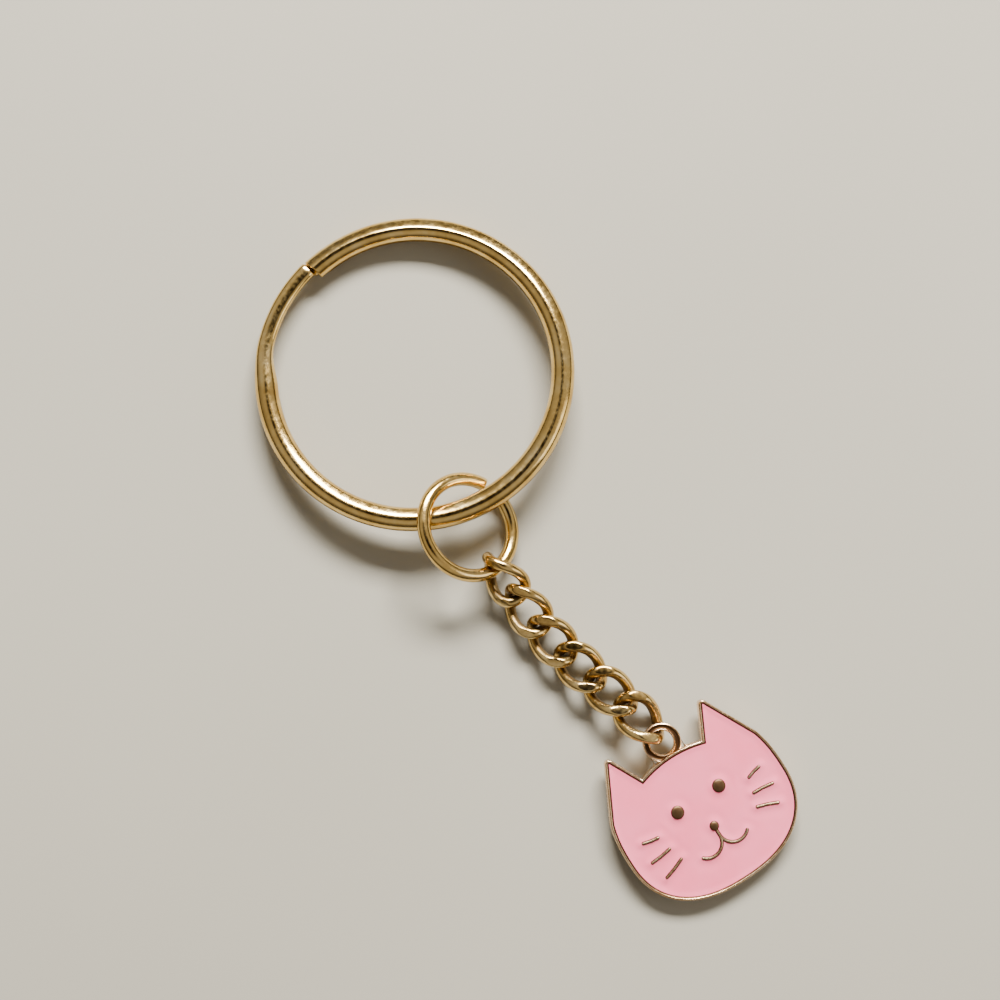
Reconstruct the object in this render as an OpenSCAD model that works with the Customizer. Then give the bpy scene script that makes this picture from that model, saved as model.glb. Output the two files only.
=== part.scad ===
// Cat charm key ring: a split ring, an open jump ring, six curb chain links and a flat cast charm.
// It lies on a table at z = 0, over the middle of its own length, with the charm toward -Y.

/* [Split ring] */
// Outer diameter of the split ring
ring_od = 30; // [29:0.5:32]
// Width of the half-round wire that each coil is made of
ring_wire = 2.2; // [2:0.1:2.3]
// Angle where the upper coil is cut off
ring_cut_at = 101.5; // [80:0.5:120]
// Angle that the single strand takes to step from one coil to the other
ring_step = 41; // [36:1:46]

/* [Jump ring] */
// Outer diameter of the jump ring
jump_od = 10.45; // [10.3:0.05:10.6]
// Diameter of the jump ring's wire
jump_wire = 1.25; // [1.1:0.05:1.25]
// Angle of the gap between the jump ring's cut ends
jump_gap = 14; // [6:1:20]

/* [Chain] */
// Overall length of one link
link_length = 5.84; // [5.8:0.02:5.88]
// Overall width of one link
link_width = 4.4; // [4.36:0.02:4.44]
// Diameter of the link's wire
link_wire = 1.04; // [0.92:0.02:1.04]
// Twist of each end of a link against its middle
link_twist = 53; // [52:0.5:54]

/* [Charm] */
// Thickness of the charm at its rim
charm_thickness = 1.3; // [1.1:0.05:1.4]
// Thickness of the metal behind the enamel
charm_back = 0.6; // [0.4:0.05:0.7]
// Width of the raised rim round the enamel
rim_width = 0.38; // [0.28:0.02:0.44]
// Height of the eyes, nose, mouth and whiskers above the rim
face_proud = 0.1; // [0:0.05:0.2]
// Depth of the enamel's surface below the rim
enamel_sink = 0.08; // [0:0.02:0.2]
// Outer radius of the bail that the chain hooks into
bail_outer = 1.8; // [1.75:0.05:1.9]
// Radius of the hole in the bail
bail_hole = 1.1; // [1.1:0.02:1.2]
// Height of the bail's front over the back of the head
bail_thickness = 0.9; // [0.7:0.05:0.95]
// Step from the flat back of the head in to the back of the bail
bail_step = 0.05; // [0.05:0.05:0.25]

/* [Hidden] */

// the pieces are set out from the split ring's centre, which lies this far along +Y
ring_y = 20.4;

// split ring
coil_r = ring_wire / 2;
ring_r = ring_od / 2 - coil_r;
ring_tilt = 4.4;
ring_z = coil_r + ring_r * sin(ring_tilt);
coil_gap = 0.05;
strand_r = ring_r + 0.33;
strand_height = 1.04;
strand_width = 1.5;
strand_tilt = asin(0.53 / (strand_r * sin(ring_step / 2)));

// jump ring, hooked round the split ring and leaning on it
jump_r = (jump_od - jump_wire) / 2;
jump_at = 256.8;
jump_out = 1.52;
jump_axis_at = 77;
jump_lean = 30;
jump_cut_at = 43;
jump_x = (ring_r + jump_out) * cos(jump_at);
jump_y = (ring_r + jump_out) * sin(jump_at);
jump_z = jump_wire / 2 + jump_r * sin(jump_lean);
jump_l = [cos(jump_axis_at), sin(jump_axis_at), 0];
jump_s = [sin(jump_axis_at) * cos(jump_lean), -cos(jump_axis_at) * cos(jump_lean), -sin(jump_lean)];

// chain: the first link hangs on the jump ring and each further link hooks into the one before
play = 0.12;
link_a = (link_length - link_wire) / 2;
link_b = (link_width - link_wire) / 2;
pitch = 2 * link_a - link_wire - play;
hook_at = 165;
headings = [5, 4, 11, 16, 20, 11];
drops = [7.5, 5.5, 4, -1.5, -3.5, 0.5];
rolls = [45, 25, 13, 1, -8, -18];
hook_r = jump_r - jump_wire / 2 - link_wire / 2 - play;
hook_point = [jump_x, jump_y, jump_z] + hook_r * (cos(hook_at) * jump_l + sin(hook_at) * jump_s);
function link_dir(i) = [
    sin(headings[i]) * cos(drops[i]),
    -cos(headings[i]) * cos(drops[i]),
    -sin(drops[i])
];
function link_centre(i) = i == 0
    ? hook_point + link_a * link_dir(0)
    : link_centre(i - 1) + pitch / 2 * (link_dir(i - 1) + link_dir(i));

// one link is an oval of round wire, twisted about its length
link_sides = 14;
link_rings = 48;
function oval(c, p) = sign(c) * pow(abs(c), p);
function link_point(t) = let(
        x = link_a * oval(cos(t), 0.87),
        y = link_b * oval(sin(t), 0.87),
        turn = -link_twist * x / link_a
    ) [x, y * cos(turn), y * sin(turn)];
function unit(v) = v / norm(v);
function link_skin(t) = let(
        p = link_point(t),
        along = unit(link_point(t + 1) - link_point(t - 1)),
        over = unit(cross(along, p)),
        out = cross(over, along)
    ) [for (k = [0 : link_sides - 1])
        p + link_wire / 2 * (cos(360 * k / link_sides) * out + sin(360 * k / link_sides) * over)];

// charm: the head's outline, drawn upright round the middle of the enamel
head_half_width = 8.5;
chin_y = -7;
bail_y = 7.65;
bail_x = 0.1;
charm_tilt = 4.3;
charm_reach = bail_y - chin_y;
charm_end = link_centre(5) + link_a * link_dir(5);
charm_x = charm_end[0] + 0.02;
charm_y = charm_end[1] - 0.46;
charm_z = charm_reach * sin(charm_tilt);
face_top = charm_thickness + face_proud;
enamel_top = charm_thickness - enamel_sink;
enamel_gap = 0.015;
function cheek(t) = [
    head_half_width * oval(cos(t), 0.85),
    (t > 0 ? 9.05 : -chin_y) * oval(sin(t), 0.85)
];
half_head = concat(
    [for (x = [0 : 0.65 : 3.25]) [x, 6.36 - 0.0455 * x * x]],
    [for (t = [150 : -15 : 30]) [5.1 + 0.42 * cos(t), 8.6 + 0.42 * sin(t)]],
    [for (t = [22 : -3 : -89]) cheek(t)]
);
head_points = concat(
    half_head,
    [for (i = [len(half_head) - 1 : -1 : 1]) [-half_head[i][0], half_head[i][1]]]
);

module laid_out() {
    translate([0, ring_y, 0])
        children();
}

// one coil of half-round wire, flat side on z = 0, cut between the two ends of the step
module coil() {
    rotate([0, 0, ring_cut_at + ring_step])
        rotate_extrude(angle = 360 - ring_step, $fn = 96)
            intersection() {
                translate([ring_r, 0])
                    circle(r = coil_r, $fn = 48);
                translate([ring_r - coil_r, coil_gap / 2])
                    square([2 * coil_r, coil_r]);
            }
}

// the single strand that steps down from the upper coil to the lower one
module step_strand() {
    rotate([0, 0, ring_cut_at + ring_step / 2])
        rotate([strand_tilt, 0, 0])
            rotate([0, 0, -ring_step / 2 - 4])
                rotate_extrude(angle = ring_step + 8, $fn = 96)
                    translate([strand_r, 0])
                        strand_section();
}

module strand_section() {
    square([strand_width - strand_height, strand_height], center = true);
    for (side = [-1, 1])
        translate([side * (strand_width - strand_height) / 2, 0])
            circle(d = strand_height, $fn = 32);
}

module split_ring() {
    color("#d8b45e")
        translate([0, 0, ring_z])
            rotate([-ring_tilt, 0, 0]) {
                coil();
                mirror([0, 0, 1])
                    coil();
                step_strand();
            }
}

module jump_ring() {
    color("#d8b45e")
        translate([jump_x, jump_y, jump_z])
            rotate([0, 0, jump_axis_at])
                rotate([jump_lean, 0, 0])
                    rotate([0, 0, -jump_cut_at])
                        rotate_extrude(angle = 360 - jump_gap, $fn = 96)
                            translate([jump_r, 0])
                                circle(d = jump_wire, $fn = 40);
}

module curb_link() {
    skins = [for (i = [0 : link_rings - 1]) link_skin(360 * i / link_rings)];
    points = [for (skin = skins) for (p = skin) p];
    faces = [
        for (i = [0 : link_rings - 1])
            for (k = [0 : link_sides - 1])
                let(
                    j = (i + 1) % link_rings,
                    m = (k + 1) % link_sides
                )
                    [
                        i * link_sides + k,
                        j * link_sides + k,
                        j * link_sides + m,
                        i * link_sides + m
                    ]
    ];
    polyhedron(points = points, faces = faces, convexity = 4);
}

module chain_link(i) {
    color("#cfae62")
        translate(link_centre(i))
            rotate([0, drops[i], headings[i] - 90])
                rotate([rolls[i], 0, 0])
                    curb_link();
}

module head_outline(inset = 0) {
    offset(delta = -inset)
        polygon(head_points);
}

// a straight bar with round ends
module bar(from, to, width) {
    run = to - from;
    translate(from)
        rotate(atan2(run[1], run[0]))
            translate([0, -width / 2])
                square([norm(run), width]);
    for (end = [from, to])
        translate(end)
            circle(d = width, $fn = 24);
}

// half of the mouth, an arc that hangs from the middle line
module smile(side) {
    line = 0.26;
    mirror([side < 0 ? 1 : 0, 0])
        translate([1.36, -2.25]) {
            difference() {
                circle(r = 1.4 + line / 2, $fn = 64);
                circle(r = 1.4 - line / 2, $fn = 64);
                translate([-3, 0])
                    square([6, 3]);
                rotate(-40)
                    square(3);
            }
            rotate(-40)
                translate([1.4, 0])
                    circle(d = line + 0.04, $fn = 24);
        }
}

// eyes, nose, mouth and whiskers
module face_lines() {
    for (side = [-1, 1]) {
        translate([0.1 + side * 2.25, 1.58])
            circle(r = 0.63, $fn = 48);
        smile(side);
        bar([side * 4.85, 0.65], [side * 6.45, 1.0], 0.24);
        bar([side * 4.5, -0.75], [side * 6.7, -0.95], 0.24);
        bar([side * 4.1, -2.0], [side * 6.25, -2.8], 0.24);
    }
    translate([0.03, -1.25])
        circle(r = 0.45, $fn = 40);
    bar([0.02, -1.4], [0, -2.5], 0.3);
}

// the ring at the top of the charm, with a shallow channel in its face
module bail() {
    translate([bail_x, bail_y])
        difference() {
            translate([0, 0, bail_step])
                cylinder(r = bail_outer, h = bail_thickness - bail_step, $fn = 96);
            translate([0, 0, -1])
                cylinder(r = bail_hole, h = bail_thickness + 2, $fn = 96);
            translate([0, 0, bail_thickness - 0.12])
                difference() {
                    cylinder(r = bail_outer - 0.17, h = 1, $fn = 96);
                    translate([0, 0, -1])
                        cylinder(r = bail_hole + 0.17, h = 3, $fn = 96);
                }
        }
}

module charm_place() {
    translate([charm_x, charm_y, charm_z])
        rotate([charm_tilt, 0, 0])
            translate([-bail_x, -bail_y, 0])
                children();
}

module charm_body() {
    color("#c79a6c")
        charm_place() {
            difference() {
                union() {
                    linear_extrude(charm_thickness)
                        head_outline();
                    bail();
                }
                translate([0, 0, charm_back])
                    linear_extrude(charm_thickness)
                        head_outline(rim_width);
            }
            linear_extrude(face_top)
                face_lines();
        }
}

module charm_enamel() {
    color("#f09bab")
        charm_place()
            translate([0, 0, charm_back])
                linear_extrude(enamel_top - charm_back)
                    difference() {
                        head_outline(rim_width);
                        offset(delta = enamel_gap)
                            face_lines();
                    }
}

laid_out() split_ring();
laid_out() jump_ring();
laid_out() chain_link(0);  // chain_link_1
laid_out() chain_link(1);  // chain_link_2
laid_out() chain_link(2);  // chain_link_3
laid_out() chain_link(3);  // chain_link_4
laid_out() chain_link(4);  // chain_link_5
laid_out() chain_link(5);  // chain_link_6
laid_out() charm_body();
laid_out() charm_enamel();
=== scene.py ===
"""A gold key ring with a curb chain and a pink enamel cat charm, laid out on a pale floor."""
import math

import bmesh
import bpy
from mathutils import Matrix, Vector, geometry, noise


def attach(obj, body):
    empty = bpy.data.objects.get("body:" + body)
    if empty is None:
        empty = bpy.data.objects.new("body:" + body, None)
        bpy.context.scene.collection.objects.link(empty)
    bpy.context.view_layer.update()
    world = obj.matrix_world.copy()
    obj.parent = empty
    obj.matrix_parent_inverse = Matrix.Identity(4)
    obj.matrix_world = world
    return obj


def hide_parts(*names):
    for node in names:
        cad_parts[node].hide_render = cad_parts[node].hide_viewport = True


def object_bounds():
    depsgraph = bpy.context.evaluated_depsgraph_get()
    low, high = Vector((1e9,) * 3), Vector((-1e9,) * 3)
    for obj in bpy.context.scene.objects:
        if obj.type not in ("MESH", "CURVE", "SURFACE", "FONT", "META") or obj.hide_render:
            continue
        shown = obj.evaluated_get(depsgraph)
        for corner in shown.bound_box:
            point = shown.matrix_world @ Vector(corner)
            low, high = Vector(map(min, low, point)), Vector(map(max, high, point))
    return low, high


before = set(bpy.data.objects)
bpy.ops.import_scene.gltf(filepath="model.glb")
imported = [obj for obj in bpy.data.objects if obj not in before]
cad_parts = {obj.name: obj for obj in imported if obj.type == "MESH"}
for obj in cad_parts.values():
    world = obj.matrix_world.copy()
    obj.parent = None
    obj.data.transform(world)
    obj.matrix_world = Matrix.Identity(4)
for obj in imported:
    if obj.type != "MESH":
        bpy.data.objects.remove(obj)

CAD_BOX = [list(corner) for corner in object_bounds()]
MM = 0.001
SHARP_ANGLE = math.radians(40)


# ---------------------------------------------------------------- dimensions
# Lengths are in millimetres and angles in degrees. They follow the CAD, apart from the charm's rim and
# the split ring's single strand, which are a few hundredths wider.

RING_Y = 20.4
RING_WIRE_R = 1.1
RING_R = 13.9
RING_TILT = 4.4
RING_Z = RING_WIRE_R + RING_R * math.sin(math.radians(RING_TILT))
RING_CUT_AT = 101.5
RING_STEP = 41
# in degrees along the wire from the upper cut end: where the single strand starts,
# where it ends, and the lower cut end
STEP_START = 360 - RING_STEP
STEP_END = 360
WIRE_END = 720 - RING_STEP
STRAND_R = RING_R + 0.33
STRAND_HALF_W = 0.77
STRAND_HALF_H = 0.52
COIL_GAP = 0.05
# each coil's section: its middle, the fall of its two slopes, their swell
# and the softness of the ridge between them
SECTION_MID = 0.5
SLOPE = 0.42
BELLY = 0.13
RIDGE = 0.33

JUMP_WIRE_R = 0.625
JUMP_R = 4.6
JUMP_AT = 256.8
JUMP_OUT = 1.52
JUMP_AXIS_AT = 77
JUMP_LEAN = 30
JUMP_CUT_AT = 43
JUMP_GAP = 14

LINK_WIRE_R = 0.52
LINK_A = 2.4
LINK_B = 1.68
LINK_TWIST = 53
LINK_OVAL = 0.87
LINK_SEAM_AT = 37
LINK_PLAY = 0.12
PITCH = 2 * LINK_A - 2 * LINK_WIRE_R - LINK_PLAY
HOOK_AT = 165
# for each link: its heading on the table, how steeply it falls and its roll about its own length
HEADINGS = [5, 4, 11, 16, 20, 11]
DROPS = [7.5, 5.5, 4, -1.5, -3.5, 0.5]
ROLLS = [45, 25, 13, 1, -8, -18]

HEAD_HALF_W = 8.5
CHEEK_TOP = 9.05
CHEEK_OVAL = 0.85
CHIN_Y = -7
CROWN_Y = 6.36
EAR_TIP = (5.1, 8.6)
EAR_TIP_R = 0.42
CHARM_THICK = 1.3
CHARM_BACK = 0.6
RIM = 0.4
FACE_PROUD = 0.1
ENAMEL_SINK = 0.08
BAIL_R = 1.8
BAIL_HOLE = 1.1
BAIL_THICK = 0.9
BAIL_STEP = 0.05
BAIL_X = 0.1
BAIL_Y = 7.65
CHARM_TILT = 4.3

# the photo is turned by this much about the line of sight
PHOTO_TURN = 32.5
ROLL = math.radians(PHOTO_TURN)


# ---------------------------------------------------------------- where each piece lies

def turn(axis, degrees):
    return Matrix.Rotation(math.radians(degrees), 4, axis)


def shift(x, y, z):
    return Matrix.Translation((x, y, z))


def polar(degrees, radius=1.0):
    return radius * math.cos(math.radians(degrees)), radius * math.sin(math.radians(degrees))


def jump_place():
    x, y = polar(JUMP_AT, RING_R + JUMP_OUT)
    z = JUMP_WIRE_R + JUMP_R * math.sin(math.radians(JUMP_LEAN))
    return shift(x, y + RING_Y, z) @ turn("Z", JUMP_AXIS_AT) @ turn("X", JUMP_LEAN)


def link_dir(i):
    """The way link i runs, from the ring toward the charm."""
    heading, drop = math.radians(HEADINGS[i]), math.radians(DROPS[i])
    return Vector((math.sin(heading) * math.cos(drop), -math.cos(heading) * math.cos(drop), -math.sin(drop)))


def link_centres():
    """The first link hangs inside the jump ring's wire, and each later one on the link before it."""
    hook_r = JUMP_R - JUMP_WIRE_R - LINK_WIRE_R - LINK_PLAY
    c, s = polar(HOOK_AT, hook_r)
    centre = jump_place() @ Vector((c, -s, 0)) + LINK_A * link_dir(0)
    centres = [centre]
    for i in range(1, 6):
        centre = centre + PITCH / 2 * (link_dir(i - 1) + link_dir(i))
        centres.append(centre)
    return centres


def link_place(i, centre):
    return (Matrix.Translation(centre) @ turn("Z", HEADINGS[i] - 90) @ turn("Y", DROPS[i])
            @ turn("X", ROLLS[i]))


def charm_place(last_link):
    """The chin rests on the table, and the bail on the last link's wire."""
    end = last_link + LINK_A * link_dir(5)
    z = (BAIL_Y - CHIN_Y) * math.sin(math.radians(CHARM_TILT))
    return (shift(end.x + 0.02, end.y - 0.46, z) @ turn("X", CHARM_TILT)
            @ shift(-BAIL_X, -BAIL_Y, 0))


RING_PLACE = shift(0, RING_Y, RING_Z) @ turn("X", -RING_TILT)
JUMP_PLACE = jump_place()
LINK_CENTRES = link_centres()
CHARM_PLACE = charm_place(LINK_CENTRES[5])


# ---------------------------------------------------------------- mesh helpers

def in_metres(place):
    """The same placement, for a mesh whose points are in metres."""
    return Matrix.Scale(MM, 4) @ place @ Matrix.Scale(1 / MM, 4)


def make_piece(name, bm, place, body, material, replaced=(), tone=None):
    """A mesh in millimetres becomes a piece in metres that rides on a body.

    tone gives each point's darkness from 0 to 1: painted shade, kept in a colour attribute.
    """
    bmesh.ops.remove_doubles(bm, verts=bm.verts, dist=1e-5)
    bmesh.ops.recalc_face_normals(bm, faces=bm.faces)
    for face in bm.faces:
        face.smooth = True
    for edge in bm.edges:
        if len(edge.link_faces) == 2 and edge.calc_face_angle(0) > SHARP_ANGLE:
            edge.smooth = False
    if tone:
        # each point's painted shade
        layer = bm.verts.layers.float_color.new("painted_shade")
        for v in bm.verts:
            dark = tone(v.co)
            v[layer] = (dark, dark, dark, 1)
    bmesh.ops.scale(bm, vec=(MM, MM, MM), verts=bm.verts)
    mesh = bpy.data.meshes.new(name)
    bm.to_mesh(mesh)
    bm.free()
    mesh.materials.append(material)
    piece = bpy.data.objects.new(name, mesh)
    bpy.context.scene.collection.objects.link(piece)
    piece.matrix_world = in_metres(place)
    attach(piece, body)
    if replaced:
        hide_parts(*replaced)


def add_rings(bm, rings, closed=False):
    """Joins rings of points, each with the same count, by quads. Open ends get a cap."""
    rows = [[bm.verts.new(p) for p in ring] for ring in rings]
    count = len(rows[0])
    last = len(rows) if closed else len(rows) - 1
    for i in range(last):
        a, b = rows[i], rows[(i + 1) % len(rows)]
        for k in range(count):
            m = (k + 1) % count
            bm.faces.new((a[k], b[k], b[m], a[m]))
    if not closed:
        bm.faces.new(rows[0])
        bm.faces.new(rows[-1])


def smoothstep(a, b, x):
    """Rises smoothly from 0 at a to 1 at b."""
    t = min(1.0, max(0.0, (x - a) / (b - a)))
    return t * t * (3 - 2 * t)


# ---------------------------------------------------------------- split ring

def half_round(theta, up, ridge_at=0.0):
    """Radius of one coil's section in direction theta, from its own middle. up is -1 for the lower coil."""
    s, c = math.sin(theta) * up, math.cos(theta)
    arc = -SECTION_MID * s
    arc += math.sqrt(max(0.0, (SECTION_MID * s) ** 2 - SECTION_MID ** 2 + RING_WIRE_R ** 2))
    if s >= -1e-4:
        return min(arc, roof(s, c, ridge_at))
    flat = (COIL_GAP / 2 - SECTION_MID) / s
    n = 16
    return (arc ** -n + flat ** -n) ** (-1 / n)


def roof(s, c, ridge_at):
    """Where the ray from the section's middle meets the two nearly flat slopes beside the ridge."""
    low, high = 0.0, 1.6
    for _ in range(26):
        rho = (low + high) / 2
        x = rho * c - ridge_at
        slopes = RING_WIRE_R - SLOPE * (math.hypot(x, RIDGE) - RIDGE) - BELLY * x * x
        if SECTION_MID + rho * s > slopes:
            high = rho
        else:
            low = rho
    return low


def strand_round(theta):
    """Radius of the pressed, nearly oval section of the single strand."""
    n = 2.4
    wide, high = abs(math.cos(theta) / STRAND_HALF_W), abs(math.sin(theta) / STRAND_HALF_H)
    return (wide ** n + high ** n) ** (-1 / n)


def split_ring_stops():
    """Where the wire's sections are, in degrees along it: close together at its ends and at the cut."""
    pitch = 1.5
    stops = [0, 0.1, 0.28, 0.6] + [pitch * i for i in range(1, int(WIRE_END / pitch))]
    stops += [STEP_END - d for d in (1.3, 1.1, 0.9, 0.7, 0.5, 0.3, 0.15)]
    stops += [WIRE_END - 0.6, WIRE_END - 0.28, WIRE_END - 0.1, WIRE_END]
    return sorted(set(s for s in stops if 0 <= s <= WIRE_END))


def split_ring_section(s):
    """The wire's outline at s: a half-round coil, or the pressed strand, or something between the two."""
    sides = 56
    tucked = smoothstep(WIRE_END - 16, WIRE_END - 5, s)
    strand = smoothstep(STEP_START - 11, STEP_START + 7, s) * (1 - smoothstep(STEP_END, STEP_END + 5, s))
    narrow = max(strand, tucked)
    down = smoothstep(STEP_START + 0.12 * RING_STEP, STEP_START + 0.88 * RING_STEP, s)
    radius = RING_R + (STRAND_R - RING_R) * narrow
    height = SECTION_MID - 0.2 * smoothstep(STEP_START - 10, STEP_START + 14, s)
    height = height - 0.8 * smoothstep(STEP_END - 1.5, STEP_END, s) - 0.03 * tucked

    # softened and slightly slanting cut ends
    from_end = min(s, WIRE_END - s)
    trim = 1 - 0.1 * max(0.0, 1 - from_end / 0.3) ** 2
    slant = 0.4 * max(0.0, 1 - from_end / 8) * (1 if s < STEP_START else -1)

    # the ridge wanders across the wire on the way round
    angle = RING_CUT_AT - s
    ridge_at = 0.08 - 0.3 * (0.5 + 0.5 * math.cos(math.radians(angle - 55))) ** 1.5
    section = []
    for k in range(sides):
        theta = 2 * math.pi * (k + 0.5) / sides
        coil = half_round(theta, 1, ridge_at) * (1 - down) + half_round(theta, -1) * down
        rho = (coil * (1 - narrow) + strand_round(theta) * narrow) * trim * (1 - 0.12 * tucked)
        r = radius + rho * math.cos(theta)
        a = math.radians(angle + slant * (r - RING_R))
        section.append(Vector((r * math.cos(a), r * math.sin(a), height + rho * math.sin(theta))))
    return section


def split_ring_mesh():
    """One wire wound twice: the upper coil, the strand that steps down, and the lower coil."""
    bm = bmesh.new()
    add_rings(bm, [split_ring_section(s) for s in split_ring_stops()])
    return bm


# ---------------------------------------------------------------- jump ring

def jump_ring_mesh():
    """Round wire bent to a ring, open at its gap, with softened ends."""
    arc = 360 - JUMP_GAP
    # degrees from an end, and the part of the wire's radius there
    ends = [(0, 0.9), (0.4, 0.965), (1.0, 0.99), (1.8, 1.0)]
    stops = ends + [(2 * i, 1.0) for i in range(2, int(arc / 2) - 1)]
    stops += [(arc - s, trim) for s, trim in reversed(ends)]
    sides = 40
    rings = []
    for s, trim in stops:
        a = math.radians(-JUMP_CUT_AT + s)
        ring = []
        for k in range(sides):
            c, up = polar(360 * k / sides, JUMP_WIRE_R * trim)
            ring.append(Vector(((JUMP_R + c) * math.cos(a), (JUMP_R + c) * math.sin(a), up)))
        rings.append(ring)
    bm = bmesh.new()
    add_rings(bm, rings)
    return bm


# ---------------------------------------------------------------- curb links

def oval(c, p):
    """A sine or cosine raised to the power p with its sign kept, which squares an ellipse a little."""
    return math.copysign(abs(c) ** p, c)


def link_point(t):
    """The middle of the link's wire: an oval twisted about its long axis."""
    x = LINK_A * oval(math.cos(t), LINK_OVAL)
    y = LINK_B * oval(math.sin(t), LINK_OVAL)
    a = math.radians(-LINK_TWIST * x / LINK_A)
    return Vector((x, y * math.cos(a), y * math.sin(a)))


def link_mesh(seed):
    """A closed, twisted oval of round wire, with pressed flats on its four high spots and a seam.

    The seed makes the flats of each link a little different.
    """
    sides, count = 28, 132
    seam = math.radians(LINK_SEAM_AT)
    turns = [2 * math.pi * i / count for i in range(count)]
    turns = [t for t in turns if abs(t - seam) > 0.04]
    turns += [seam + d for d in (-0.03, -0.012, 0, 0.012, 0.03)]
    turns.sort()
    flat_at = LINK_WIRE_R + 0.62
    rings = []
    for t in turns:
        p = link_point(t)
        along = (link_point(t + 0.02) - link_point(t - 0.02)).normalized()
        over = along.cross(p).normalized()
        out = over.cross(along)
        groove = 0.09 * math.exp(-((t - seam) / 0.009) ** 2)
        ring = []
        for k in range(sides):
            a = 2 * math.pi * k / sides
            v = p + LINK_WIRE_R * (1 - groove) * (math.cos(a) * out + math.sin(a) * over)
            wobble = 0.018 * noise.noise(Vector((v.x * 0.9, v.y * 0.9, seed * 7.0)))
            high = abs(v.z) - flat_at - wobble
            if high > 0:
                v.z = math.copysign(flat_at + wobble + 0.12 * high, v.z)
            ring.append(v)
        rings.append(ring)
    bm = bmesh.new()
    add_rings(bm, rings, closed=True)
    return bm


def link_painted_shade(v):
    """Painted shade, dark and coppery, in the link's hollow and at its ends, where the next link sits."""
    tip = smoothstep(0.6 * LINK_A, 0.95 * LINK_A, abs(v.x))
    out = math.hypot(v.x / LINK_A, math.hypot(v.y, v.z) / LINK_B)
    hollow = 1 - smoothstep(0.86, 1.1, out)
    return max(0.82 * hollow, 0.9 * tip * (1 - smoothstep(0.9, 1.12, out)))


# ---------------------------------------------------------------- charm outline

def cheek(degrees):
    """A point on the squared oval of the face, counted from the cheek's widest place."""
    c, s = polar(degrees)
    reach = CHEEK_TOP if degrees > 0 else -CHIN_Y
    return HEAD_HALF_W * oval(c, CHEEK_OVAL), reach * oval(s, CHEEK_OVAL)


def densify(points, longest):
    """The closed loop with points added, so that no side is longer than longest."""
    out = []
    for i, point in enumerate(points):
        a, b = Vector(point), Vector(points[(i + 1) % len(points)])
        n = max(1, math.ceil((b - a).length / longest))
        out += [a.lerp(b, k / n) for k in range(n)]
    return out


def head_outline():
    """Forehead, ear, cheek and chin of the right half, then the same mirrored."""
    forehead = [(0.25 * i, CROWN_Y - 0.0455 * (0.25 * i) ** 2) for i in range(13)]
    half = forehead + [(3.25, 5.88)]
    for t in range(150, 25, -8):
        c, s = polar(t)
        half.append((EAR_TIP[0] + EAR_TIP_R * c, EAR_TIP[1] + EAR_TIP_R * s))
    half += [cheek(t) for t in range(22, -90, -2)] + [(0, CHIN_Y)]
    left = [(-x, y) for x, y in reversed(half[1:-1])]
    return densify(half + left, 0.3)


def inset(loop, distance):
    """The loop moved inward along its own normals; the loop runs clockwise."""
    out = []
    for i, b in enumerate(loop):
        a, c = loop[i - 1], loop[(i + 1) % len(loop)]
        d1, d2 = (b - a).normalized(), (c - b).normalized()
        n1, n2 = Vector((d1.y, -d1.x)), Vector((d2.y, -d2.x))
        m = (n1 + n2).normalized()
        out.append(b + m * distance / max(0.55, m.dot(n1)))
    return out


def level(loop, z):
    """The flat loop at height z."""
    return [Vector((p.x, p.y, z)) for p in loop]


def inside(p, loop):
    """Even-odd test of a point against a closed loop."""
    hit = False
    a = loop[-1]
    for b in loop:
        if (b.y > p.y) != (a.y > p.y) and p.x < (a.x - b.x) * (p.y - b.y) / (a.y - b.y) + b.x:
            hit = not hit
        a = b
    return hit


HEAD = head_outline()
RIM_CREST = inset(HEAD, 0.15)
RIM_INNER = inset(HEAD, RIM - 0.01)


def charm_shell_mesh():
    """Back plate, side wall, rounded rim and the floor of the recess."""
    # inset from the outline, and height
    profile = [(0.14, 0.0), (0.05, 0.02), (0.012, 0.06), (0.0, 0.14), (0.0, 0.6), (0.0, 1.10),
               (0.012, 1.19), (0.035, 1.25), (0.07, 1.285), (0.115, CHARM_THICK), (0.165, 1.298),
               (0.2, 1.285), (0.225, 1.262), (0.26, 1.24), (0.33, 1.215), (0.38, 1.19), (RIM, 1.16),
               (RIM, CHARM_BACK)]
    uneven_above = 1.22
    rings = []
    for d, z in profile:
        ring = level(inset(HEAD, d), z)
        if z > uneven_above:
            for p in ring:
                p.z += 0.012 * noise.noise(Vector((p.x * 2.2, p.y * 2.2, 5.0)))
        rings.append(ring)
    bm = bmesh.new()
    add_rings(bm, rings)
    return bm


def rim_oxide_and_painted_shade(v):
    """Painted shade, with some darker oxide, in the corner between the rim and the enamel; none on the outer
    wall and the back, which stay bright.
    """
    outer_wall = v.z < CHARM_THICK - 0.16 and not inside(v, RIM_INNER)
    if outer_wall or not inside(v, RIM_CREST):
        return 0.0
    return 1 - smoothstep(CHARM_THICK - 0.035, CHARM_THICK - 0.008, v.z)


def bail_painted_shade(v):
    """Painted shade in the channel between the bail's two lips."""
    if v.z < 0.3:
        return 0.0
    r = math.hypot(v.x - BAIL_X, v.y - BAIL_Y)
    return smoothstep(0.08, 0.16, min(BAIL_R - 0.05 - r, r - BAIL_HOLE - 0.03))


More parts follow.
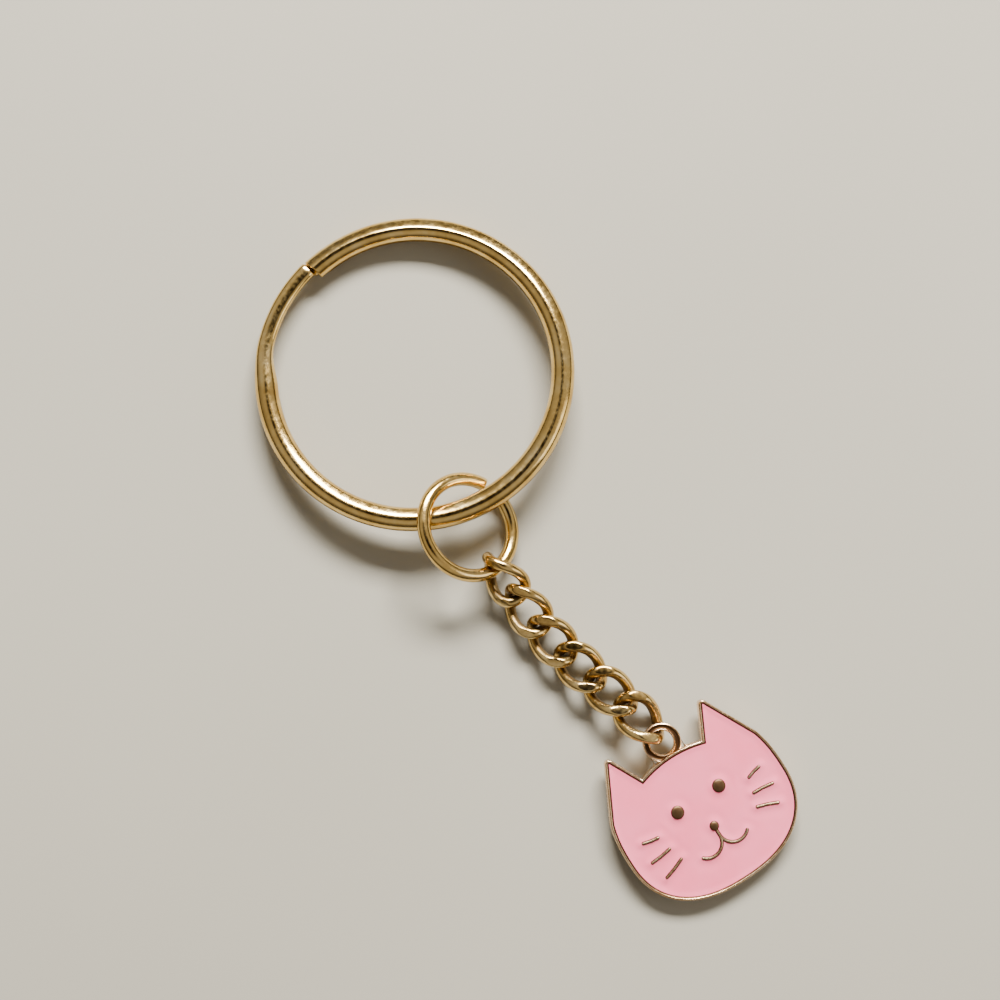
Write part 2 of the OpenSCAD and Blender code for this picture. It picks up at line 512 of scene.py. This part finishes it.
def bail_mesh():
    """The bail: two bright lips with a sunk channel between them, turned about its own centre."""
    outer, hole, top, back = BAIL_R, BAIL_HOLE, BAIL_THICK, BAIL_STEP
    # radius and height: up the outer wall, over the channel, and down the hole
    profile = [(outer - 0.12, back), (outer - 0.03, back + 0.03), (outer, back + 0.12), (outer, top - 0.12),
               (outer - 0.03, top - 0.03), (outer - 0.09, top), (outer - 0.14, top - 0.03),
               (outer - 0.18, top - 0.12), (outer - 0.23, top - 0.16), (hole + 0.27, top - 0.16),
               (hole + 0.2, top - 0.12), (hole + 0.165, top - 0.045), (hole + 0.125, top - 0.022),
               (hole + 0.065, top - 0.07), (hole + 0.025, top - 0.14), (hole, top - 0.24),
               (hole, back + 0.18), (hole + 0.05, back + 0.05), (hole + 0.16, back)]
    steps = 120
    rings = []
    for i in range(steps):
        c, s = polar(360 * i / steps)
        rings.append([Vector((BAIL_X + r * c, BAIL_Y + r * s, z)) for r, z in profile])
    bm = bmesh.new()
    add_rings(bm, rings, closed=True)
    return bm


def neck_mesh(side):
    """The small fillet where the bail flows into the forehead. side is -1 on the left, 1 on the right."""
    fillet_r, forehead_y, steps = 0.55, 6.14, 10
    bottom, top = 0.02, BAIL_THICK - 0.02
    centre_y = forehead_y + fillet_r
    centre_x = math.sqrt((BAIL_R + fillet_r) ** 2 - (BAIL_Y - centre_y) ** 2)
    start = math.degrees(math.atan2(BAIL_Y - centre_y, -centre_x))
    root = Vector((centre_x - 0.5, forehead_y - 0.25))
    rings = []
    for i in range(steps + 1):
        c, s = polar(start + (270 - start) * i / steps, fillet_r)
        face = Vector((centre_x + c, centre_y + s))
        inward = (root - face).normalized()
        # distance behind the fillet's face, and height
        edge = ((0.1, bottom), (0.0, 0.1), (0.0, top - 0.1), (0.03, top - 0.03), (0.1, top))
        flat = [(face + inward * back, z) for back, z in edge] + [(root, top), (root, bottom)]
        rings.append([Vector((BAIL_X + side * p.x, p.y, z)) for p, z in flat])
    bm = bmesh.new()
    add_rings(bm, rings)
    return bm


# ---------------------------------------------------------------- the raised face

EYES = [(-2.15, 1.58), (2.35, 1.6)]
EYE_R = 0.63
NOSE = (0.03, -1.25)
NOSE_R = 0.45
BOSSES = [(x, y, EYE_R + 0.01) for x, y in EYES] + [(*NOSE, NOSE_R + 0.01)]
LINE_W = 0.34
MOUTH_R = 1.4
MOUTH_Y = -2.2
MOUTH_SWEEP = 142
WHISKER_W = 0.32
WHISKERS = [((-4.75, 0.6), (-6.47, 0.95)), ((-4.4, -0.78), (-6.72, -1.02)), ((-4.0, -2.1), (-6.3, -2.9)),
            ((4.95, 0.7), (6.55, 1.1)), ((4.55, -0.67), (6.8, -0.9)), ((4.15, -1.88), (6.28, -2.7))]


def arc_points(centre, radius, start, sweep, steps=30):
    points = []
    for i in range(steps + 1):
        c, s = polar(start + sweep * i / steps)
        points.append(Vector((centre[0] + radius * c, centre[1] + radius * s)))
    return points


def mouth_lines():
    """Two lines that share a stem under the nose and curl up at the corners."""
    right = arc_points((MOUTH_R, MOUTH_Y), MOUTH_R, 180, MOUTH_SWEEP)
    left = arc_points((-MOUTH_R, MOUTH_Y), MOUTH_R, 0, -MOUTH_SWEEP)
    stem = [Vector((0.02, -1.4)), Vector((0.0, -1.8)), Vector((0.0, -2.25))]
    return [stem + right[1:], stem + left[1:]]


def line_painted_shade(v):
    """Painted shade on the flanks below the crest; the round bosses are painted dark all over, standing in
    for the dark reflection on their domes, and are dull.
    """
    flank = 1 - smoothstep(CHARM_THICK + 0.045, CHARM_THICK + 0.082, v.z)
    boss = any(math.hypot(v.x - x, v.y - y) < r for x, y, r in BOSSES)
    return max(flank, 0.9 if boss else 0.0)


def add_dome(bm, centre, radius, top, base):
    """A round boss with a slightly domed top."""
    # part of the radius, and height
    profile = [(1.0, base - 0.2), (1.0, base - 0.01), (1.0, base + 0.03), (0.985, base + 0.08),
               (0.95, top - 0.07), (0.88, top - 0.03), (0.76, top), (0.58, top + 0.025),
               (0.36, top + 0.042), (0.16, top + 0.05)]
    sides = 48
    rings = []
    for scale, z in profile:
        ring = []
        for k in range(sides):
            c, s = polar(360 * k / sides, radius * scale)
            ring.append(Vector((centre[0] + c, centre[1] + s, z)))
        rings.append(ring)
    add_rings(bm, rings)


def point_at(path, lengths, s):
    """The point at length s along the path, whose points lie at the given lengths."""
    s = min(max(s, 0.0), lengths[-1])
    i = 1
    while s > lengths[i] and i < len(path) - 1:
        i += 1
    return path[i - 1].lerp(path[i], (s - lengths[i - 1]) / (lengths[i] - lengths[i - 1]))


def add_ridge(bm, path, width, top, base):
    """A raised line with a rounded crest, narrowing to round ends."""
    # offset across the line as a part of its width, and height
    rise = [(0.56, base - 0.2), (0.56, base - 0.01), (0.54, base + 0.03), (0.49, base + 0.07),
            (0.41, base + 0.11), (0.29, top - 0.04), (0.15, top - 0.012)]
    section = rise + [(0.0, top)] + [(-u, z) for u, z in reversed(rise)]
    path = [Vector(p) for p in path]
    lengths = [0.0]
    for a, b in zip(path, path[1:]):
        lengths.append(lengths[-1] + (b - a).length)
    total = lengths[-1]
    half = width / 2
    stops = [half * (1 - math.cos(math.radians(a))) for a in (8, 25, 45, 65, 90)]
    n = max(2, int((total - 2 * half) / 0.12))
    stops += [half + (total - 2 * half) * i / n for i in range(1, n)]
    stops += [total - s for s in reversed(stops[:5])]
    rings = []
    for s in stops:
        end = min(s, total - s)
        narrow = math.sqrt(max(0.02, 1 - (1 - min(1.0, end / half)) ** 2))
        p = point_at(path, lengths, s)
        along = (point_at(path, lengths, s + 0.05) - point_at(path, lengths, s - 0.05)).normalized()
        side = Vector((-along.y, along.x))
        drop = (1 - narrow) * 0.07 + 0.014 * noise.noise(Vector((p.x * 4.5, p.y * 4.5, 1.0)))
        rings.append([Vector((p.x + side.x * width * u * narrow, p.y + side.y * width * u * narrow,
                              z - (drop if z > base + 0.05 else 0))) for u, z in section])
    add_rings(bm, rings)


def face_mesh():
    """Eyes, nose, mouth and whiskers, which stand through the enamel."""
    bm = bmesh.new()
    top = CHARM_THICK + FACE_PROUD
    base = CHARM_THICK - ENAMEL_SINK
    for eye in EYES:
        add_dome(bm, eye, EYE_R, top, base)
    add_dome(bm, NOSE, NOSE_R, top - 0.01, base)
    for line in mouth_lines():
        add_ridge(bm, line, LINE_W, top - 0.02, base)
    for a, b in WHISKERS:
        bend = (Vector(b) - Vector(a)).orthogonal().normalized() * 0.05
        mid = (Vector(a) + Vector(b)) / 2 + bend
        add_ridge(bm, [a, mid, b], WHISKER_W, top - 0.02, base)
    return bm


# ---------------------------------------------------------------- enamel

def segment_distance(p, a, b):
    """Distance from p to the straight line from a to b."""
    ab = b - a
    t = max(0.0, min(1.0, (p - a).dot(ab) / ab.length_squared))
    return (p - a - ab * t).length


def metal_distance(p, lines):
    """Distance on the face from p to the nearest raised metal, other than the rim."""
    best = min((p - Vector(e)).length - EYE_R for e in EYES)
    best = min(best, (p - Vector(NOSE)).length - NOSE_R)
    for a, b, half in lines:
        best = min(best, segment_distance(p, a, b) - half)
    return max(0.0, best)


def enamel_points(edge, inner):
    """The points of the enamel's surface: its edge, three loops beside it and a triangular grid within."""
    points = list(edge)
    for d in (RIM + 0.05, RIM + 0.14, RIM + 0.26):
        points += [p for p in inset(HEAD, d) if inside(p, edge)]
    step, half_w, top_y = 0.16, 8.6, 9.3
    for j in range(int((top_y - CHIN_Y) / step) + 1):
        for i in range(int(2 * half_w / step) + 1):
            p = Vector((-half_w + step * (i + 0.5 * (j % 2)), CHIN_Y + step * j))
            if inside(p, inner):
                points.append(p)
    return points


def enamel_height(p, lines, rim, inner):
    """The enamel climbs where it meets metal, dips beside the raised lines, and is never quite flat."""
    gap = metal_distance(p, lines)
    wall = 1.0
    if not inside(p, inner):
        near = [(a, b) for a, b in rim if abs(a.x - p.x) < 1.2 and abs(a.y - p.y) < 1.2]
        wall = min(segment_distance(p, a, b) for a, b in near)
    climb = 0.085 * math.exp(-(gap / 0.24)) + 0.07 * math.exp(-(wall / 0.2))
    trough = -0.03 * math.exp(-((gap - 0.55) / 0.4) ** 2)
    swell = 0.010 * noise.noise(Vector((p.x * 0.33, p.y * 0.33, 3.0)))
    ripple = 0.003 * noise.noise(Vector((p.x * 1.1, p.y * 1.1, 9.0)))
    return CHARM_THICK - ENAMEL_SINK - 0.02 + climb + trough + swell + ripple


def enamel_mesh():
    """One pour of enamel, closed by a side wall and a back that are hidden in the casting."""
    edge = inset(HEAD, RIM - 0.03)
    inner = inset(HEAD, RIM + 0.36)
    rim_loop = inset(HEAD, RIM)
    rim = list(zip(rim_loop, rim_loop[1:] + rim_loop[:1]))
    lines = [(Vector(a), Vector(b), WHISKER_W / 2) for a, b in WHISKERS]
    for line in mouth_lines():
        lines += [(a, b, LINE_W / 2) for a, b in zip(line[::3], line[3::3])]
    edges = [(i, (i + 1) % len(edge)) for i in range(len(edge))]
    flat_verts, _, faces, *_ = geometry.delaunay_2d_cdt(enamel_points(edge, inner), edges, [], 1, 1e-6)
    bm = bmesh.new()
    top = [bm.verts.new((p.x, p.y, enamel_height(p, lines, rim, inner))) for p in flat_verts]
    # the triangulation lists its faces in no fixed order
    for face in sorted(faces):
        bm.faces.new([top[i] for i in face])
    back = [bm.verts.new((p.x, p.y, CHARM_BACK - 0.02)) for p in edge]
    for i, j in edges:
        bm.faces.new((top[i], top[j], back[j], back[i]))
    bm.faces.new(back)
    return bm


# ---------------------------------------------------------------- materials

def new_material(name):
    """An empty material with its nodes, its links and its shader."""
    mat = bpy.data.materials.new(name)
    mat.use_nodes = True
    nodes, links = mat.node_tree.nodes, mat.node_tree.links
    shader = nodes["Principled BSDF"]
    return mat, nodes, links, shader


def noise_texture(nodes, links, coords, **settings):
    """Noise whose scale is in features a metre; gives its grey output."""
    node = nodes.new("ShaderNodeTexNoise")
    for key, value in settings.items():
        node.inputs[key].default_value = value
    links.new(coords, node.inputs["Vector"])
    return node.outputs["Fac"]


def bump_node(nodes, links, height, strength, distance):
    node = nodes.new("ShaderNodeBump")
    node.inputs["Strength"].default_value = strength
    node.inputs["Distance"].default_value = distance
    links.new(height, node.inputs["Height"])
    return node


def map_range(nodes, links, value, before, after):
    """Maps the range before to the range after, and clamps to its ends."""
    node = nodes.new("ShaderNodeMapRange")
    for key, number in zip(("From Min", "From Max", "To Min", "To Max"), (*before, *after)):
        node.inputs[key].default_value = number
    links.new(value, node.inputs["Value"])
    return node.outputs["Result"]


def mix_colour(nodes, links, factor, colour, other):
    """From colour, a socket, at factor 0 to other, a constant, at factor 1."""
    node = nodes.new("ShaderNodeMix")
    node.data_type = "RGBA"
    factor_in, colour_in, other_in = node.inputs[0], node.inputs[6], node.inputs[7]
    other_in.default_value = (*other, 1)
    links.new(factor, factor_in)
    links.new(colour, colour_in)
    return node.outputs[2]


def ramp(nodes, links, source, stops):
    """Colours at positions from 0 to 1."""
    node = nodes.new("ShaderNodeValToRGB")
    elements = node.color_ramp.elements
    for i, (position, colour) in enumerate(stops):
        element = elements[i] if i < 2 else elements.new(position)
        element.position = position
        element.color = (*colour, 1)
    links.new(source, node.inputs["Fac"])
    return node.outputs["Color"]


def metal(name, base, worn, dark, shade_colour, roughness, grain):
    """Plated metal: faint tone changes, rubbing marks, tiny pits, and the painted shade that the piece
    carries, which darkens and dulls it.
    """
    mat, nodes, links, shader = new_material(name)
    coords = nodes.new("ShaderNodeTexCoord").outputs["Object"]
    broad = noise_texture(nodes, links, coords, Scale=420.0, Detail=4.0, Roughness=0.6)
    tone = ramp(nodes, links, broad, [(0.32, dark), (0.5, base), (0.72, worn)])
    # each piece's painted shade, from 0 to 1, mixes the colour toward a dark shade colour and roughens the
    # surface
    attribute = nodes.new("ShaderNodeAttribute")
    attribute.attribute_name = "painted_shade"
    painted_shade = attribute.outputs["Fac"]
    links.new(mix_colour(nodes, links, painted_shade, tone, shade_colour), shader.inputs["Base Color"])

    marks = noise_texture(nodes, links, coords, Scale=2600.0, Detail=5.0, Roughness=0.65)
    rough = map_range(nodes, links, marks, (0.35, 0.7), (roughness, roughness + 0.14))
    dull = nodes.new("ShaderNodeMath")
    dull.operation = "MULTIPLY_ADD"
    dull.inputs[1].default_value = 0.25
    links.new(painted_shade, dull.inputs[0])
    links.new(rough, dull.inputs[2])
    links.new(dull.outputs["Value"], shader.inputs["Roughness"])

    rubbed = bump_node(nodes, links, marks, 0.1 * grain, 0.00004)
    fine = noise_texture(nodes, links, coords, Scale=7000.0, Detail=4.0, Roughness=0.7)
    pits = bump_node(nodes, links, fine, 0.07 * grain, 0.00003)
    links.new(rubbed.outputs["Normal"], pits.inputs["Normal"])
    links.new(pits.outputs["Normal"], shader.inputs["Normal"])
    shader.inputs["Metallic"].default_value = 1.0
    return mat


def enamel_material():
    """Opaque pink enamel under a clear gloss, with faint clouding and an uneven surface."""
    mat, nodes, links, shader = new_material("pink_enamel")
    coords = nodes.new("ShaderNodeTexCoord").outputs["Object"]
    cloud = noise_texture(nodes, links, coords, Scale=260.0, Detail=3.0, Roughness=0.5)
    tone = ramp(nodes, links, cloud, [(0.35, (0.98, 0.185, 0.29)), (0.65, (1.0, 0.21, 0.325))])
    links.new(tone, shader.inputs["Base Color"])
    fine = noise_texture(nodes, links, coords, Scale=1400.0, Detail=4.0, Roughness=0.55)
    uneven = bump_node(nodes, links, fine, 0.08, 0.00005)
    links.new(uneven.outputs["Normal"], shader.inputs["Normal"])
    shader.inputs["Roughness"].default_value = 0.26
    shader.inputs["IOR"].default_value = 1.5
    shader.inputs["Coat Weight"].default_value = 0.6
    shader.inputs["Coat Roughness"].default_value = 0.05
    shader.inputs["Subsurface Weight"].default_value = 0.15
    shader.inputs["Subsurface Radius"].default_value = (0.0006, 0.0003, 0.0003)
    shader.inputs["Subsurface Scale"].default_value = 1.0
    return mat


def floor_material():
    """Pale, matt and very slightly clouded."""
    mat, nodes, links, shader = new_material("pale_floor")
    coords = nodes.new("ShaderNodeTexCoord").outputs["Object"]
    cloud = noise_texture(nodes, links, coords, Scale=14.0, Detail=2.0)
    tone = ramp(nodes, links, cloud, [(0.3, (0.345, 0.325, 0.262)), (0.7, (0.372, 0.35, 0.288))])
    links.new(tone, shader.inputs["Base Color"])
    shader.inputs["Roughness"].default_value = 0.75
    return mat


# the fourth colour of each metal is the colour of its painted shade
RING_GOLD = metal("ring_gold", base=(0.77, 0.53, 0.18), worn=(0.87, 0.66, 0.31), dark=(0.60, 0.38, 0.11),
                  shade_colour=(0.2, 0.1, 0.03), roughness=0.1, grain=0.5)
CHAIN_GOLD = metal("chain_gold", base=(0.66, 0.44, 0.15), worn=(0.90, 0.70, 0.34), dark=(0.34, 0.20, 0.06),
                   shade_colour=(0.06, 0.026, 0.007), roughness=0.12, grain=1.4)
CHARM_METAL = metal("charm_metal", base=(0.82, 0.56, 0.33), worn=(0.92, 0.70, 0.48),
                    dark=(0.60, 0.37, 0.19), shade_colour=(0.075, 0.035, 0.014), roughness=0.17, grain=1.2)
ENAMEL = enamel_material()


# ---------------------------------------------------------------- pieces

make_piece("split_ring_wire", split_ring_mesh(), RING_PLACE, "split_ring", RING_GOLD,
           ["split_ring"])
make_piece("jump_ring_wire", jump_ring_mesh(), JUMP_PLACE, "jump_ring", RING_GOLD,
           ["jump_ring"])
for i in range(6):
    name = "chain_link_%d" % (i + 1)
    # painted shade in each link's hollow and at its ends
    make_piece(name + "_wire", link_mesh(i), link_place(i, LINK_CENTRES[i]), name, CHAIN_GOLD,
               [name], tone=link_painted_shade)
make_piece("charm_shell", charm_shell_mesh(), CHARM_PLACE, "charm", CHARM_METAL,
           ["charm_body"], tone=rim_oxide_and_painted_shade)
make_piece("charm_bail", bail_mesh(), CHARM_PLACE, "charm", CHARM_METAL, tone=bail_painted_shade)
make_piece("charm_neck_left", neck_mesh(-1), CHARM_PLACE, "charm", CHARM_METAL)
make_piece("charm_neck_right", neck_mesh(1), CHARM_PLACE, "charm", CHARM_METAL)
make_piece("charm_face_lines", face_mesh(), CHARM_PLACE, "charm", CHARM_METAL,
           tone=line_painted_shade)
make_piece("charm_enamel_pour", enamel_mesh(), CHARM_PLACE, "charm", ENAMEL,
           ["charm_enamel"])


# ---------------------------------------------------------------- floor, light and camera

def make_floor():
    """A wide pale floor just under the lowest point of the CAD."""
    bm = bmesh.new()
    bmesh.ops.create_grid(bm, x_segments=4, y_segments=4, size=4)
    mesh = bpy.data.meshes.new("floor")
    bm.to_mesh(mesh)
    bm.free()
    mesh.materials.append(floor_material())
    floor = bpy.data.objects.new("floor", mesh)
    floor.location.z = CAD_BOX[0][2] - 0.00002
    bpy.context.scene.collection.objects.link(floor)


def area_light(name, azimuth, elevation, distance, size, power, colour):
    """A soft light that faces the object.

    Azimuth is counted anticlockwise from +X, and size is width and height.
    """
    data = bpy.data.lights.new(name, "AREA")
    data.shape = "RECTANGLE"
    data.size, data.size_y = size
    data.energy = power
    data.color = colour
    light = bpy.data.objects.new(name, data)
    a, e = math.radians(azimuth), math.radians(elevation)
    aim = Vector((0, 0.005, 0))
    out = Vector((math.cos(a) * math.cos(e), math.sin(a) * math.cos(e), math.sin(e)))
    light.location = aim + out * distance
    light.rotation_mode = "QUATERNION"
    light.rotation_quaternion = (-out).to_track_quat("-Z", "Y")
    bpy.context.scene.collection.objects.link(light)


def make_world():
    """A pale room with a dark patch overhead, where the photographer leans in, and a dim horizon."""
    world = bpy.data.worlds.new("studio")
    bpy.context.scene.world = world
    world.use_nodes = True
    nodes, links = world.node_tree.nodes, world.node_tree.links
    coords = nodes.new("ShaderNodeTexCoord").outputs["Generated"]
    lean = math.radians(5)
    toward = nodes.new("ShaderNodeVectorMath")
    toward.operation = "DOT_PRODUCT"
    toward.inputs[1].default_value = (math.sin(lean) * math.sin(ROLL), math.sin(lean) * math.cos(ROLL),
                                      math.cos(lean))
    links.new(coords, toward.inputs[0])
    # cosine of the angle from the middle of the patch, and colour
    room = ramp(nodes, links, toward.outputs["Value"],
                [(0.0, (0.05, 0.04, 0.03)), (1.0, (0.014, 0.009, 0.004)), (0.30, (0.13, 0.11, 0.085)),
                 (0.60, (0.50, 0.46, 0.40)), (0.82, (0.50, 0.46, 0.40)), (0.915, (0.36, 0.32, 0.27)),
                 (0.945, (0.017, 0.011, 0.005))])
    direction = nodes.new("ShaderNodeSeparateXYZ")
    links.new(coords, direction.inputs["Vector"])
    low = map_range(nodes, links, direction.outputs["Z"], (0.02, 0.22), (1.0, 0.0))
    sky = mix_colour(nodes, links, low, room, (0.125, 0.112, 0.088))
    links.new(sky, nodes["Background"].inputs["Color"])
    nodes["Background"].inputs["Strength"].default_value = 1.0


def make_camera():
    """Almost overhead, turned as the photo is, and far enough away to see view_width at the target."""
    data = bpy.data.cameras.new("camera")
    data.lens = 67
    data.sensor_width = 36
    data.clip_start = 0.01
    data.clip_end = 10
    camera = bpy.data.objects.new("camera", data)
    elevation = math.radians(84)
    up = Vector((math.sin(ROLL), math.cos(ROLL), 0))
    right = Vector((up.y, -up.x, 0))
    back = -up * math.cos(elevation) + Vector((0, 0, 1)) * math.sin(elevation)
    target = Vector((0.0004, 0.0061, 0.001))
    view_width = 0.0935
    distance = view_width / 2 / (data.sensor_width / 2 / data.lens)
    above = back.cross(right)
    matrix = Matrix((right, above, back)).transposed().to_4x4()
    matrix.translation = target + back * distance
    camera.matrix_world = matrix
    bpy.context.scene.collection.objects.link(camera)
    bpy.context.scene.camera = camera


make_floor()
make_world()
make_camera()
PHOTO_UP = 90 - PHOTO_TURN
area_light("window", azimuth=PHOTO_UP - 8, elevation=40, distance=0.6, size=(0.40, 0.15), power=17.0,
           colour=(1.0, 0.97, 0.93))
area_light("fill", azimuth=PHOTO_UP - 100, elevation=30, distance=0.8, size=(0.4, 0.4), power=1.0,
           colour=(1.0, 0.95, 0.88))
